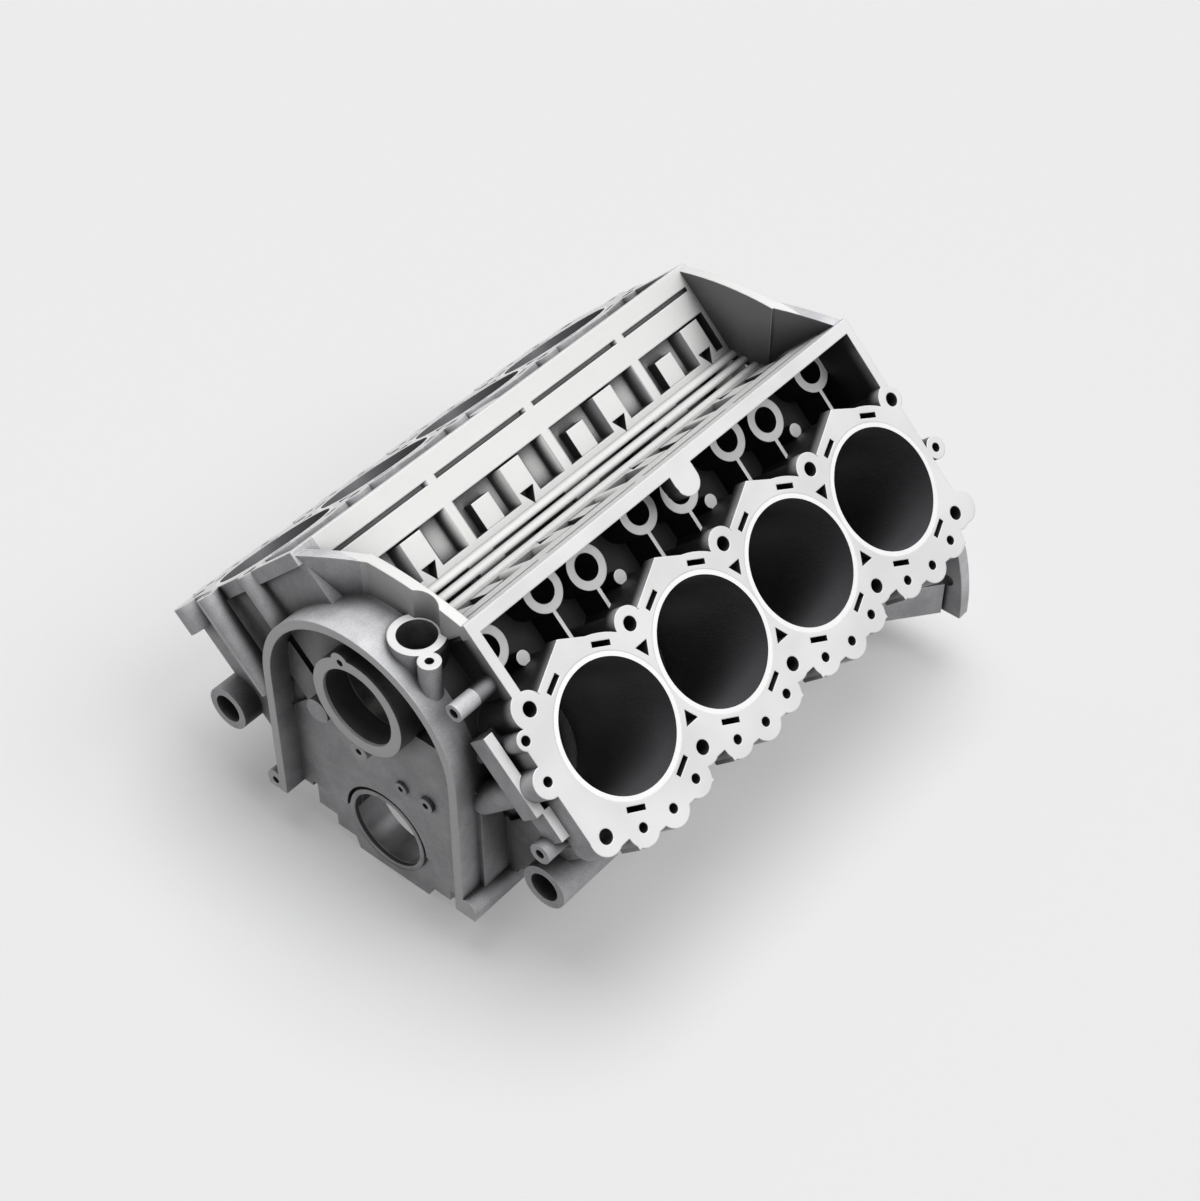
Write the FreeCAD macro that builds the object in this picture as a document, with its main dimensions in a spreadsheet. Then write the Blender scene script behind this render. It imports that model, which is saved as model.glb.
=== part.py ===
import FreeCAD, Part
import math
import os
import re
import Sketcher

# V8 engine block in millimetres. X runs along the crank from the timing end to the flywheel end,
# Z is up, and the origin is the crank axis at the centre main bearing.
# A bank is modelled upright: x along the crank, y across the deck towards the valley and z along
# its cylinders. It is then leant over by the bank angle, and a half turn about Z gives the other.

doc = FreeCAD.newDocument("engine_block")
sheet = doc.addObject("Spreadsheet::Sheet", "Sizes")

sizes = {
    # Driving layout
    "bore_pitch": 113.3,
    "bank_stagger": 24,
    "bank_lean": 45,
    "deck_height": 235,
    "cam_height": 157,
    # Cylinder liners
    "bore_radius": 52,
    "liner_wall": 4,
    "liner_length": 140,
    "bore_lead_in": 1,
    "barrel_floor": 72,
    # Deck
    "deck_thickness": 12,
    "deck_front": 62,
    "deck_rear": 63,
    "deck_low_side": 62,
    "valley_face": 130,
    "lobe_radius": 15,
    "lobe_height": 24,
    # Bank body under the deck
    "bank_front": 58,
    "bank_side": 71,
    "bank_floor": 71,
    # Head bolts and small deck holes
    "head_bolt_radius": 6,
    "head_bolt_depth": 98,
    "head_bolt_high": 52.7,
    "head_bolt_low": 55.7,
    "head_bolt_drift": 3.5,
    "deck_hole_radius": 4,
    "deck_hole_depth": 30,
    "nose_height": 90,
    "ledge_top": 217,
    "ledge_bottom": 198,
    "ledge_front": 90,
    "ledge_width": 9,
    # Coolant jacket and the slots that open it
    "jacket_inner": 59.5,
    "jacket_gap": 5,
    "jacket_depth": 110,
    "slot_length": 17,
    "slot_width": 4.5,
    "slot_across": 55.5,
    "slot_along": 27,
    "steam_hole_radius": 7.5,
    "steam_hole_across": 32,
    # Lifter gallery
    "gallery_front": 53,
    "gallery_rear": 55,
    "gallery_top_side": 119,
    "gallery_low_side": 113,
    "gallery_floor": 158,
    "gallery_inner_radius": 70,
    "mouth_peak": 79,
    "mouth_peak_place": 3,
    "mouth_slope": 28,
    "mouth_edge_length": 44,
    "mouth_edge_width": 20,
    "head_boss_radius": 10,
    "head_boss_rim": 14,
    "lifter_radius": 11,
    "lifter_boss_radius": 18.5,
    "lifter_boss_top": 190,
    "lifter_foot": 118,
    "lifter_lean_step": 4,
    "lifter_across": 102,
    "front_lifter": -29,
    "rear_lifter": 39.5,
    "lifter_web": 3.5,
    "yoke_boss_radius": 6,
    "yoke_boss_place": -6.4,
    "tongue_place": 175.5,
    "tongue_radius": 12.5,
    "tongue_depth": 16,
    # Valley side of each bank
    "valley_step_top": 193,
    "valley_step_floor": 158,
    "valley_step_face": 118,
    "valley_step_rear": 35,
    "valley_groove_rear": 50,
    "valley_groove_low": 214,
    "valley_groove_high": 218,
    "valley_groove_face": 126,
    "valley_floor": 196,
    "valley_floor_half": 30,
    "rib_radius": 6,
    "rib_spacing": 12.5,
    "tall_column_radius": 9,
    "tall_column_height": 75,
    "forked_boss_radius": 17,
    "forked_boss_height": 42,
    "square_boss_width": 20,
    "square_boss_height": 24,
    "notch_radius": 9,
    "notch_length": 16,
    # Walls at the two ends of the valley
    "end_wall_top": 264,
    "end_wall_thickness": 9,
    "end_wall_seat": 6,
    "end_wall_crown_radius": 300,
    "end_wall_near_side": 80,
    "end_wall_bend": 20,
    "end_wall_slant": 70,
    "end_wall_skew": 24,
    # Crankcase
    "main_bore_radius": 35,
    "main_ring_radius": 43,
    "main_ring_depth": 8,
    "bulkhead_thickness": 28,
    "bay_radius": 92,
    "pan_face": 5,
    "pan_rail_half": 112,
    "pan_rail_height": 13,
    "case_half": 105,
    "case_front": 244,
    "case_rear": 252,
    # Main bearing caps
    "cap_half": 82,
    "cap_thickness": 26,
    "cap_drop": 54,
    "cap_foot_half": 38,
    "cap_seat_half": 62,
    "cap_inner_seat": 42,
    "cap_outer_seat": 30,
    "inner_bolt_place": 51,
    "outer_bolt_place": 73,
    "inner_bolt_radius": 6,
    "outer_bolt_radius": 5,
    "bolt_clearance": 0.5,
    "inner_bolt_reach": 38,
    "outer_bolt_reach": 26,
    "bolt_head_height": 9,
    "bolt_head_ratio": 1.7,
    # Camshaft tunnel
    "cam_bore_radius": 35,
    "cam_bush_wall": 2,
    "cam_bush_length": 22,
    "cam_bay_radius": 42,
    "cam_boss_radius": 45,
    "cam_boss_face": 262,
    "boss_ear_radius": 9,
    "boss_ear_across": 13.5,
    "boss_ear_height": 196,
    "boss_ear_hole": 3,
    "oil_hole_height": 107,
    "oil_hole_radius": 6,
    # Timing end
    "front_face": 264,
    "arch_centre": 132,
    "arch_radius": 100,
    "arch_rail": 8,
    "foot_bolt_place": 104,
    "foot_bolt_height": 3,
    "foot_boss_radius": 9,
    "cover_bolt_radius": 3.5,
    "lug_radius": 11,
    "lug_across": 50,
    "lug_height": 116,
    "pocket_depth": 20,
    "pocket_inner": 30,
    "pocket_outer": 90,
    "pocket_top": 215,
    # Coolant port, its bolt ear and the bolt tube beside it
    "port_radius": 15.5,
    "port_boss_radius": 22,
    "port_along": 231,
    "port_across": 38,
    "port_foot": 190,
    "port_top": 235,
    "port_depth": 30,
    "port_relief": 1.5,
    "port_ear_radius": 9,
    "port_ear_along": 245,
    "port_ear_across": 63,
    "tube_radius": 7.5,
    "tube_hole_radius": 4,
    "tube_across": 97,
    "tube_height": 214,
    "tube_length": 48,
    # Pump ports under the two banks, and the bracket boss beside the left one
    "pump_port_face": 235,
    "pump_port_length": 64,
    "pump_port_radius": 20,
    "pump_port_hole": 13,
    "pump_port_across": 158,
    "pump_port_height": 46,
    "bracket_face": 251,
    "bracket_length": 37,
    "bracket_radius": 9,
    "bracket_hole": 4,
    "bracket_across": 169,
    "bracket_height": 108,
    # Flywheel end
    "rear_face": 264,
    "flange_radius": 214,
    "seal_bore_radius": 60,
    "neck_radius": 165,
    "neck_length": 48,
    "gusset_start": 130,
    "gusset_width": 10,
    "gusset_height": 34,
    "gusset_turn": 38,
    "bell_bolt_radius": 5.5,
    "bell_bolt_circle": 200,
    "bell_scallop_radius": 26,
    "bell_dowel_radius": 7.5,
    "bell_dowel_stem": 8,
    "bell_dowel_place": 176,
    "bell_dowel_height": 40,
    "bell_dowel_reach": 12,
    "plug_wall": 2,
    "gallery_plug_length": 12,
    # Oil pan bolts
    "pan_bolt_radius": 3.5,
    "pan_bolt_across": 102,
    "pan_bolt_depth": 12,
    # Side plugs and engine mount bosses
    "side_plug_radius": 17,
    "side_plug_height": 165,
    "plug_depth": 8,
    "mount_boss_radius": 13,
    "mount_boss_reach": 9,
    "mount_boss_low": 105,
    "mount_boss_high": 165,
    "mount_bolt_radius": 5,
}
for line, (name, value) in enumerate(sizes.items(), start=1):
    sheet.set(f"A{line}", name)
    sheet.set(f"B{line}", str(value))
    sheet.setAlias(f"B{line}", name)
doc.recompute()

bores_per_bank = 4
mains = 5
middle_bore = (bores_per_bank - 1) / 2
middle_main = (mains - 1) // 2
past = 1          # how far a cut runs past the face that it opens
core_plugs = (0, 2)
pan_bolt_places = (-235, -135, -45, 45, 135, 235)
mount_boss_places = (0.62, 1.38)                    # in bore pitches
scallop_angles = (24, 54)
bell_bolt_angles = (9, 39, 69)
deck_lobes = ((-31, -70), (0, -75), (31, -70))


def sized(text):
    """Point each size name in an expression at the sheet."""
    return re.sub("[a-z_]+", lambda word: f"Sizes.{word[0]}" if word[0] in sizes else word[0], str(text))


def bind(item, **values):
    for prop, text in values.items():
        item.setExpression(prop, sized(text))


def place(item, x=0, y=0, z=0):
    for axis, text in zip("xyz", (x, y, z)):
        item.setExpression(f"Placement.Base.{axis}", sized(text))


def block(name, x, y, z, turn=None):
    """A box from (low, high) pairs along each axis."""
    item = doc.addObject("Part::Box", name)
    if turn:
        item.Placement.Rotation = turn
    bind(
        item,
        Length=f"( {x[1]} ) - ( {x[0]} )",
        Width=f"( {y[1]} ) - ( {y[0]} )",
        Height=f"( {z[1]} ) - ( {z[0]} )",
    )
    place(item, x[0], y[0], z[0])
    return item


along_x = FreeCAD.Rotation(FreeCAD.Vector(0, 1, 0), 90)
along_y = FreeCAD.Rotation(FreeCAD.Vector(1, 0, 0), -90)
along_z = FreeCAD.Rotation()


def rod(name, radius, start, length, turn=along_z):
    """A cylinder from its start point, along Z unless it is turned."""
    item = doc.addObject("Part::Cylinder", name)
    item.Placement.Rotation = turn
    bind(item, Radius=radius, Height=length)
    place(item, *start)
    return item


def fuse(name, items):
    item = doc.addObject("Part::MultiFuse", name)
    item.Shapes = items
    return item


def cut(name, base, tool):
    item = doc.addObject("Part::Cut", name)
    item.Base = base
    item.Tool = tool
    return item


def common(name, items):
    item = doc.addObject("Part::MultiCommon", name)
    item.Shapes = items
    return item


def copy_at(name, source, placement):
    item = doc.addObject("Part::Compound", name)
    item.Links = source if isinstance(source, list) else [source]
    item.Placement = placement
    return item


def bore_x(index):
    """Place of a bore along its own bank."""
    return f"( {index} - {middle_bore} ) * bore_pitch + bank_stagger / 2"


def near_bore(offset, index=0):
    return f"{bore_x(index)} + ( {offset} )"


lean = FreeCAD.Rotation(FreeCAD.Vector(1, 0, 0), sizes["bank_lean"])
half_turn = FreeCAD.Rotation(FreeCAD.Vector(0, 0, 1), 180)
bank_turns = {"left": lean, "right": half_turn.multiply(lean)}


def both_banks(name, source):
    """The same bank feature on the left and the right bank."""
    pair = []
    for side, turn in bank_turns.items():
        pair.append(copy_at(f"{name}_{side}", source, FreeCAD.Placement(FreeCAD.Vector(), turn)))
    return pair


def both_ends(name, source):
    """A feature and its half turn about Z."""
    turned = copy_at(f"{name}_turned", source, FreeCAD.Placement(FreeCAD.Vector(), half_turn))
    return [source, turned]


def head_bolts():
    """Centres of one bank's ten head bolts, as expression pairs."""
    for index in range(bores_per_bank + 1):
        between = f"( {index} - {middle_bore} - 0.5 ) * bore_pitch + bank_stagger / 2"
        yield f"{between} + head_bolt_drift * 0.5", "head_bolt_high"
        yield f"{between} - head_bolt_drift * 1.4", "0 - head_bolt_low"


def mount_bosses():
    """Places of one bank's engine mount bosses, along the bank and up it."""
    for pitches in mount_boss_places:
        for up in ("mount_boss_low", "mount_boss_high"):
            yield near_bore(f"bore_pitch * {pitches} - bank_stagger / 2"), up


def lifters():
    """Centres of one bank's eight lifters: front and rear one of each cylinder."""
    for index in range(bores_per_bank):
        yield near_bore("front_lifter", index), "lifter_across - lifter_lean_step"
        yield near_bore("rear_lifter", index), "lifter_across + lifter_lean_step"


# One bank, upright


def bank_metal():
    last = bores_per_bank - 1
    items = [
        block(
            "deck_plate",
            (f"{bore_x(0)} - deck_front", f"{bore_x(last)} + deck_rear"),
            ("0 - deck_low_side", "valley_face"),
            ("deck_height - deck_thickness", "deck_height"),
        ),
        block(
            "bank_body",
            (f"{bore_x(0)} - bank_front", f"{bore_x(last)} + bank_front"),
            ("0 - bank_side", "valley_face"),
            ("bank_floor", "deck_height - deck_thickness / 2"),
        ),
    ]
    lobe_low = "deck_height - lobe_height"
    for index in range(bores_per_bank):
        for along, across in deck_lobes:
            items.append(
                rod("deck_lobe", "lobe_radius", (near_bore(along, index), across, lobe_low), "lobe_height")
            )
        for half, low in ((44, -81), (56, -69)):
            items.append(
                block(
                    "lobe_band",
                    (near_bore(-half, index), near_bore(half, index)),
                    (low, "0 - deck_low_side + 2"),
                    (lobe_low, "deck_height"),
                )
            )
    for along, across in head_bolts():
        if across != "head_bolt_high":
            items.append(rod("head_boss", "lobe_radius", (along, across, lobe_low), "lobe_height"))
    # Noses that carry dowels and bolts at the two ends of the deck
    for along, across, radius, depth in (
        ("0 - 76", 3.6, 13, "nose_height"),
        ("0 - 72", 37, 8, "nose_height"),
        ("0 - 55", 52.7, 16, "nose_height"),
        ("bore_pitch * 3 + 72", -2.6, 10, "nose_height"),
        ("bore_pitch * 3 + 60", 52.7, 10, "nose_height"),
        ("bore_pitch * 3 + 62", -56, 14, "lobe_height"),
    ):
        items.append(rod("deck_nose", radius, (near_bore(along), across, f"deck_height - {depth}"), depth))
    items.append(block("front_lip", (near_bore(-76), near_bore(-60)), (-52, 40), (lobe_low, "deck_height")))
    front = near_bore("0 - ledge_front")
    middle = f"{front} + ledge_width"
    back = near_bore("0 - bank_front + 2")
    for name, span, across, top in (
        ("front_ledge", (front, middle), (-16, 54), "ledge_top"),
        ("front_shelf", (f"{middle} - 1", back), (-16, 54), "ledge_bottom + 6"),
        ("front_corner", (f"{middle} - 3", back), (-42, -15), "ledge_top"),
    ):
        items.append(block(name, span, across, ("ledge_bottom", top)))
    # Bosses for the engine mounts, on the low side of the bank
    for along, up in mount_bosses():
        items.append(
            rod(
                "mount_boss",
                "mount_boss_radius",
                (along, "0 - bank_side - mount_boss_reach", up),
                "mount_boss_reach * 2",
                along_y,
            )
        )
    return fuse("bank_metal", items)


def mouth_edges(index, foot):
    """The two straight edges of the deck that rise to a peak beside a bore, as turned boxes."""
    edges = []
    for side, run in ((1, 0), (-1, "mouth_edge_length")):
        edge = doc.addObject("Part::Box", "mouth_edge")
        edge.Placement.Rotation = FreeCAD.Rotation(FreeCAD.Vector(0, 0, 1), -side * sizes["mouth_slope"])
        bind(edge, Length="mouth_edge_length", Width="mouth_edge_width", Height=40)
        rise = f"sin({-side} * mouth_slope * 1 deg)"
        level = "cos(mouth_slope * 1 deg)"
        place(
            edge,
            f"{near_bore('0 - mouth_peak_place', index)} - ( {run} ) * {level} + mouth_edge_width * {rise}",
            f"mouth_peak - ( {run} ) * {rise} - mouth_edge_width * {level}",
            foot,
        )
        edges.append(edge)
    return edges


def gallery_void():
    """The lifter gallery, less the bosses, webs and rails that stand in it."""
    last = bores_per_bank - 1
    span = (f"{bore_x(0)} - gallery_front", f"{bore_x(last)} + gallery_rear")
    top = f"deck_height + {past}"
    plate_foot = "deck_height - deck_thickness - 2"
    upper = block("gallery_mouth", span, (48, "gallery_top_side"), (plate_foot, top))
    middle = block("gallery_middle", span, (48, "gallery_top_side"), ("valley_step_top", plate_foot))
    lower = block("gallery_lower", span, (48, "gallery_low_side"), ("gallery_floor", "valley_step_top"))
    rims = []
    for index in range(bores_per_bank):
        rims += mouth_edges(index, plate_foot)
    walls = [
        rod("barrel_wall", "gallery_inner_radius", (bore_x(k), 0, "gallery_floor - 5"), 200)
        for k in range(bores_per_bank)
    ]
    kept = rims + walls
    for along, across in head_bolts():
        if across == "head_bolt_high":
            kept.append(rod("head_column", "head_boss_radius", (along, across, "gallery_floor - 5"), 200))
            kept.append(rod("head_rim", "head_boss_rim", (along, across, plate_foot), 40))
    for along, across in lifters():
        kept.append(
            rod(
                "lifter_boss",
                "lifter_boss_radius",
                (along, across, "gallery_floor - 5"),
                "lifter_boss_top - gallery_floor + 5",
            )
        )
        kept.append(
            block(
                "lifter_web",
                (f"{along} - lifter_web", along),
                (60, across),
                ("gallery_floor", "lifter_boss_top"),
            )
        )
    for index in range(bores_per_bank):
        kept.append(
            rod(
                "yoke_boss",
                "yoke_boss_radius",
                (near_bore("yoke_boss_place", index), 75, "gallery_floor"),
                "lifter_boss_top - gallery_floor - 2",
            )
        )
    tongue_x = near_bore("tongue_place")
    kept.append(
        rod(
            "tongue_end",
            "tongue_radius",
            (tongue_x, "gallery_top_side - 10", "deck_height - tongue_depth"),
            "tongue_depth + 4",
        )
    )
    kept.append(
        block(
            "tongue",
            (f"{tongue_x} - tongue_radius", f"{tongue_x} + tongue_radius"),
            ("gallery_top_side - 10", "gallery_top_side + 1"),
            ("deck_height - tongue_depth", "deck_height + 2"),
        )
    )
    rooms = fuse("gallery_rooms", [upper, middle, lower])
    return cut("gallery_void", rooms, fuse("gallery_kept", kept))


def valley_side_void():
    """The stepped face that a bank shows to the valley, with its lifter columns left standing."""
    last = bores_per_bank - 1
    start = f"{bore_x(0)} - gallery_front + 4"
    face = f"valley_face + {past}"
    step = block(
        "valley_step",
        (start, f"{bore_x(last)} + valley_step_rear"),
        ("valley_step_face", face),
        ("valley_step_floor", "valley_step_top"),
    )
    groove = block(
        "valley_groove",
        (start, f"{bore_x(last)} + valley_groove_rear"),
        ("valley_groove_face", face),
        ("valley_groove_low", "valley_groove_high"),
    )
    kept = []
    for index in range(bores_per_bank):
        front = near_bore("front_lifter", index)
        rear = near_bore("rear_lifter", index)
        kept.append(
            rod(
                "tall_column",
                "tall_column_radius",
                (rear, "valley_face - tall_column_radius + 1", "valley_step_floor - 9"),
                "tall_column_height",
            )
        )
        kept.append(
            rod(
                "forked_boss",
                "forked_boss_radius",
                (front, "valley_face - forked_boss_radius + 4", "valley_step_floor - 9"),
                "forked_boss_height",
            )
        )
        kept.append(
            block(
                "square_boss",
                (f"{rear} - tall_column_radius * 2 - square_boss_width", f"{rear} - tall_column_radius * 2"),
                ("valley_step_face - 1", "valley_face - 1"),
                ("valley_step_floor - 1", "valley_step_floor + square_boss_height"),
            )
        )
    notches = []
    for index in range(bores_per_bank):
        notch = doc.addObject("Part::Prism", "boss_notch")
        notch.Polygon = 3
        notch.Placement.Rotation = FreeCAD.Rotation(FreeCAD.Vector(0, 0, 1), 90).multiply(
            FreeCAD.Rotation(FreeCAD.Vector(0, 1, 0), 90)
        )
        bind(notch, Circumradius="notch_radius", Height="notch_length")
        place(notch, near_bore("front_lifter", index), "valley_step_face", "valley_step_floor + 3")
        notches.append(notch)
    stepped = cut("valley_side_rooms", fuse("valley_cuts", [step, groove]), fuse("columns", kept))
    return fuse("valley_side_void", [stepped] + notches)


def jacket_void():
    """The coolant space round the four joined barrels."""
    floor = "deck_height - jacket_depth"
    height = "jacket_depth - deck_thickness"
    outer = [
        rod("jacket_outer", "jacket_inner + jacket_gap", (bore_x(k), 0, floor), height)
        for k in range(bores_per_bank)
    ]
    inner = [
        rod("jacket_core", "jacket_inner", (bore_x(k), 0, f"{floor} - 5"), f"{height} + 10")
        for k in range(bores_per_bank)
    ]
    return cut("jacket_void", fuse("jacket_outer_all", outer), fuse("jacket_core_all", inner))


def deck_openings():
    """Slots, steam holes and drilled holes in the deck."""
    items = []
    under = f"deck_height - deck_thickness - {past}"
    through = f"deck_thickness + {2 * past}"
    tilt = math.degrees(math.atan2(sizes["slot_along"], sizes["slot_across"]))
    for index in range(bores_per_bank):
        for along in (-1, 1):
            for across in (-1, 1):
                turn = FreeCAD.Rotation(FreeCAD.Vector(0, 0, 1), -along * across * tilt)
                slot = doc.addObject("Part::Box", "coolant_slot")
                bind(slot, Length="slot_length", Width="slot_width", Height=through)
                slot.Placement.Rotation = turn
                corner = turn.multVec(FreeCAD.Vector(-0.5, 0, 0))
                side = turn.multVec(FreeCAD.Vector(0, -0.5, 0))
                place(
                    slot,
                    f"{near_bore(f'{along} * slot_along', index)}"
                    f" + slot_length * {corner.x:.6f} + slot_width * {side.x:.6f}",
                    f"{across} * slot_across + slot_length * {corner.y:.6f} + slot_width * {side.y:.6f}",
                    under,
                )
                items.append(slot)
        for along, across in deck_lobes:
            items.append(
                rod(
                    "deck_hole",
                    "deck_hole_radius",
                    (near_bore(along, index), across, "deck_height - deck_hole_depth"),
                    f"deck_hole_depth + {past}",
                )
            )
    for index in range(bores_per_bank - 1):
        for across in (-1, 1):
            hole = doc.addObject("Part::Prism", "steam_hole")
            hole.Polygon = 3
            hole.Placement.Rotation = FreeCAD.Rotation(FreeCAD.Vector(0, 0, 1), -90 * across)
            bind(hole, Circumradius="steam_hole_radius", Height=through)
            place(hole, f"{bore_x(index)} + bore_pitch / 2", f"{across} * steam_hole_across", under)
            items.append(hole)
    for along, across in head_bolts():
        items.append(
            rod(
                "head_bolt_hole",
                "head_bolt_radius",
                (along, across, "deck_height - head_bolt_depth"),
                f"head_bolt_depth + {past}",
            )
        )
    for along, across in (("0 - 72.4", 36.9), ("0 - 76.2", 3.6), ("bore_pitch * 3 + 72", -2.6)):
        items.append(
            rod(
                "end_hole",
                "deck_hole_radius",
                (near_bore(along), across, "deck_height - deck_hole_depth"),
                f"deck_hole_depth + {past}",
            )
        )
    return items


def bank_void():
    items = [gallery_void(), valley_side_void(), jacket_void()]
    items += deck_openings()
    seat_foot = "deck_height - liner_length"
    for index in range(bores_per_bank):
        items.append(
            rod(
                "liner_seat",
                "bore_radius + liner_wall",
                (bore_x(index), 0, seat_foot),
                f"liner_length + {past}",
            )
        )
        items.append(
            rod(
                "barrel_foot",
                "bore_radius + bore_lead_in",
                (bore_x(index), 0, "barrel_floor"),
                f"{seat_foot} - barrel_floor + 1",
            )
        )
    for index in core_plugs:
        items.append(
            rod(
                "side_plug_hole",
                "side_plug_radius",
                (bore_x(index), "0 - bank_side - 12", "side_plug_height"),
                "bank_side + 12 - jacket_inner - 1",
                along_y,
            )
        )
    for along, across in lifters():
        items.append(
            rod("lifter_bore", "lifter_radius", (along, across, "lifter_foot"), "deck_height - lifter_foot")
        )
    for along, up in mount_bosses():
        items.append(
            rod(
                "mount_bolt_hole",
                "mount_bolt_radius",
                (along, f"0 - bank_side - mount_boss_reach - {past}", up),
                "mount_boss_reach * 1.8",
                along_y,
            )
        )
    return fuse("bank_void", items)


# The casting as a whole


def main_x(index):
    return f"( {index} - {middle_main} ) * bore_pitch"


def end_wall():
    """The skewed wall that closes the timing end of the valley; its half turn closes the other."""
    near = near_bore("0 - deck_front")
    foot = "valley_floor - 3"
    height = f"end_wall_top - ( {foot} )"
    wall = doc.addObject("Part::Box", "end_wall_straight")
    bind(wall, Length="end_wall_thickness", Width="end_wall_near_side + end_wall_bend + 5", Height=height)
    place(wall, near, "0 - end_wall_near_side", foot)
    slant = doc.addObject("Part::Box", "end_wall_slanted")
    slant.Placement.Rotation = FreeCAD.Rotation(FreeCAD.Vector(0, 0, 1), sizes["end_wall_skew"])
    bind(slant, Length="end_wall_thickness", Width="end_wall_slant", Height=height)
    place(slant, near, "end_wall_bend", foot)
    crown = rod(
        "end_wall_crown",
        "end_wall_crown_radius",
        ("0 - front_face", 0, "end_wall_top - end_wall_crown_radius"),
        "front_face",
        along_x,
    )
    # The wedge between the two banks, with its lower edge along the crank
    wedge = doc.addObject("Part::Box", "valley_wedge")
    wedge.Placement.Rotation = lean
    bind(wedge, Length="front_face", Width="valley_face", Height="valley_face")
    place(wedge, "0 - front_face", 0, "( valley_face - end_wall_seat ) / cos(bank_lean * 1 deg)")
    return common("end_wall", [fuse("end_wall_plan", [wall, slant]), crown, wedge])


def bell_flange():
    """The half-round flange at the flywheel end, its neck and its two gussets."""
    disc = rod("flange_disc", "flange_radius", ("case_rear", 0, 0), "rear_face - case_rear", along_x)
    neck = rod("flange_neck", "neck_radius", ("case_rear - neck_length", 0, 0), "neck_length + 1", along_x)
    gussets = []
    for side in (-1, 1):
        gusset = doc.addObject("Part::Box", "flange_gusset")
        gusset.Placement.Rotation = FreeCAD.Rotation(FreeCAD.Vector(0, 0, 1), side * sizes["gusset_turn"])
        bind(
            gusset,
            Length="( case_rear - gusset_start ) / cos(gusset_turn * 1 deg) - gusset_width / 2",
            Width="gusset_width",
            Height="gusset_height",
        )
        place(
            gusset,
            "gusset_start",
            f"{side} * ( case_half - gusset_width / 2 ) - gusset_width / 2",
            "0 - pan_face",
        )
        gussets.append(gusset)
    half = block(
        "flange_half",
        ("gusset_start - 30", "rear_face"),
        ("0 - flange_radius", "flange_radius"),
        ("0 - pan_face", "flange_radius"),
    )
    scallops = []
    for side in (-1, 1):
        for angle in scallop_angles:
            scallops.append(
                rod(
                    "flange_scallop",
                    "bell_scallop_radius",
                    (
                        "case_rear - 1",
                        f"{side} * ( flange_radius + 12 ) * cos({angle} deg)",
                        f"( flange_radius + 12 ) * sin({angle} deg)",
                    ),
                    "rear_face - case_rear + 2",
                    along_x,
                )
            )
    plate = cut("flange_plate", disc, fuse("flange_scallops", scallops))
    return common("flange", [fuse("flange_whole", [plate, neck] + gussets), half])


def bell_bolts():
    """Centres of the flywheel-end bolts, as (y, z) expression pairs."""
    for side in (-1, 1):
        for angle in bell_bolt_angles:
            yield (
                f"{side} * bell_bolt_circle * cos({angle} deg)",
                f"bell_bolt_circle * sin({angle} deg)",
            )


def pump_ports():
    """Start points of the two pump ports, each the same way ahead of its own bank."""
    yield "0 - pump_port_face", "0 - pump_port_across", "pump_port_height"
    yield "0 - pump_port_face - bank_stagger", "pump_port_across", "pump_port_height"


def casting_metal():
    length = ("0 - case_front", "case_rear")
    items = both_banks("bank", bank_metal())
    items.append(block("crankcase", length, ("0 - case_half", "case_half"), ("0 - pan_face", 120)))
    items.append(
        block(
            "pan_rail",
            ("0 - front_face", "rear_face"),
            ("0 - pan_rail_half", "pan_rail_half"),
            ("0 - pan_face", "pan_rail_height - pan_face"),
        )
    )
    items.append(
        block(
            "valley_bed",
            ("0 - case_front + 20", "case_rear - 20"),
            ("0 - valley_floor_half", "valley_floor_half"),
            ("cam_height", "valley_floor"),
        )
    )
    for side in (-1, 0, 1):
        items.append(
            rod(
                "valley_rib",
                "rib_radius",
                ("0 - case_front + 20", f"{side} * rib_spacing", "valley_floor - 1"),
                "case_front + case_rear - 40",
                along_x,
            )
        )
    # Timing case: a round-topped rail with two straight legs
    case_length = "front_face - case_front + 30"
    arch_start = ("0 - front_face", 0, "arch_centre")
    items.append(rod("case_arch", "arch_radius", arch_start, case_length, along_x))
    items.append(
        block(
            "case_legs",
            ("0 - front_face", f"0 - front_face + {case_length}"),
            ("0 - arch_radius", "arch_radius"),
            ("0 - pan_face", "arch_centre"),
        )
    )
    for side in (-1, 1):
        items.append(
            rod(
                "case_foot",
                "foot_boss_radius",
                ("0 - front_face", f"{side} * foot_bolt_place", "foot_bolt_height + 1"),
                case_length,
                along_x,
            )
        )
    # Coolant port and its bolt ear, and the bolt tube beside it
    port_height = "port_top - port_foot"
    items.append(
        rod("port_boss", "port_boss_radius", ("0 - port_along", "0 - port_across", "port_foot"), port_height)
    )
    ear_start = ("0 - port_ear_along", "0 - port_ear_across", "port_foot")
    items.append(rod("port_ear", "port_ear_radius", ear_start, port_height))
    items.append(
        rod(
            "bolt_tube",
            "tube_radius",
            ("0 - front_face + 6", "0 - tube_across", "tube_height"),
            "tube_length",
            along_x,
        )
    )
    for start in pump_ports():
        items.append(rod("pump_port", "pump_port_radius", start, "pump_port_length", along_x))
    items.append(
        rod(
            "bracket_boss",
            "bracket_radius",
            ("0 - bracket_face", "0 - bracket_across", "bracket_height"),
            "bracket_length",
            along_x,
        )
    )
    items.append(bell_flange())
    return fuse("casting_metal", items)


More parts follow.
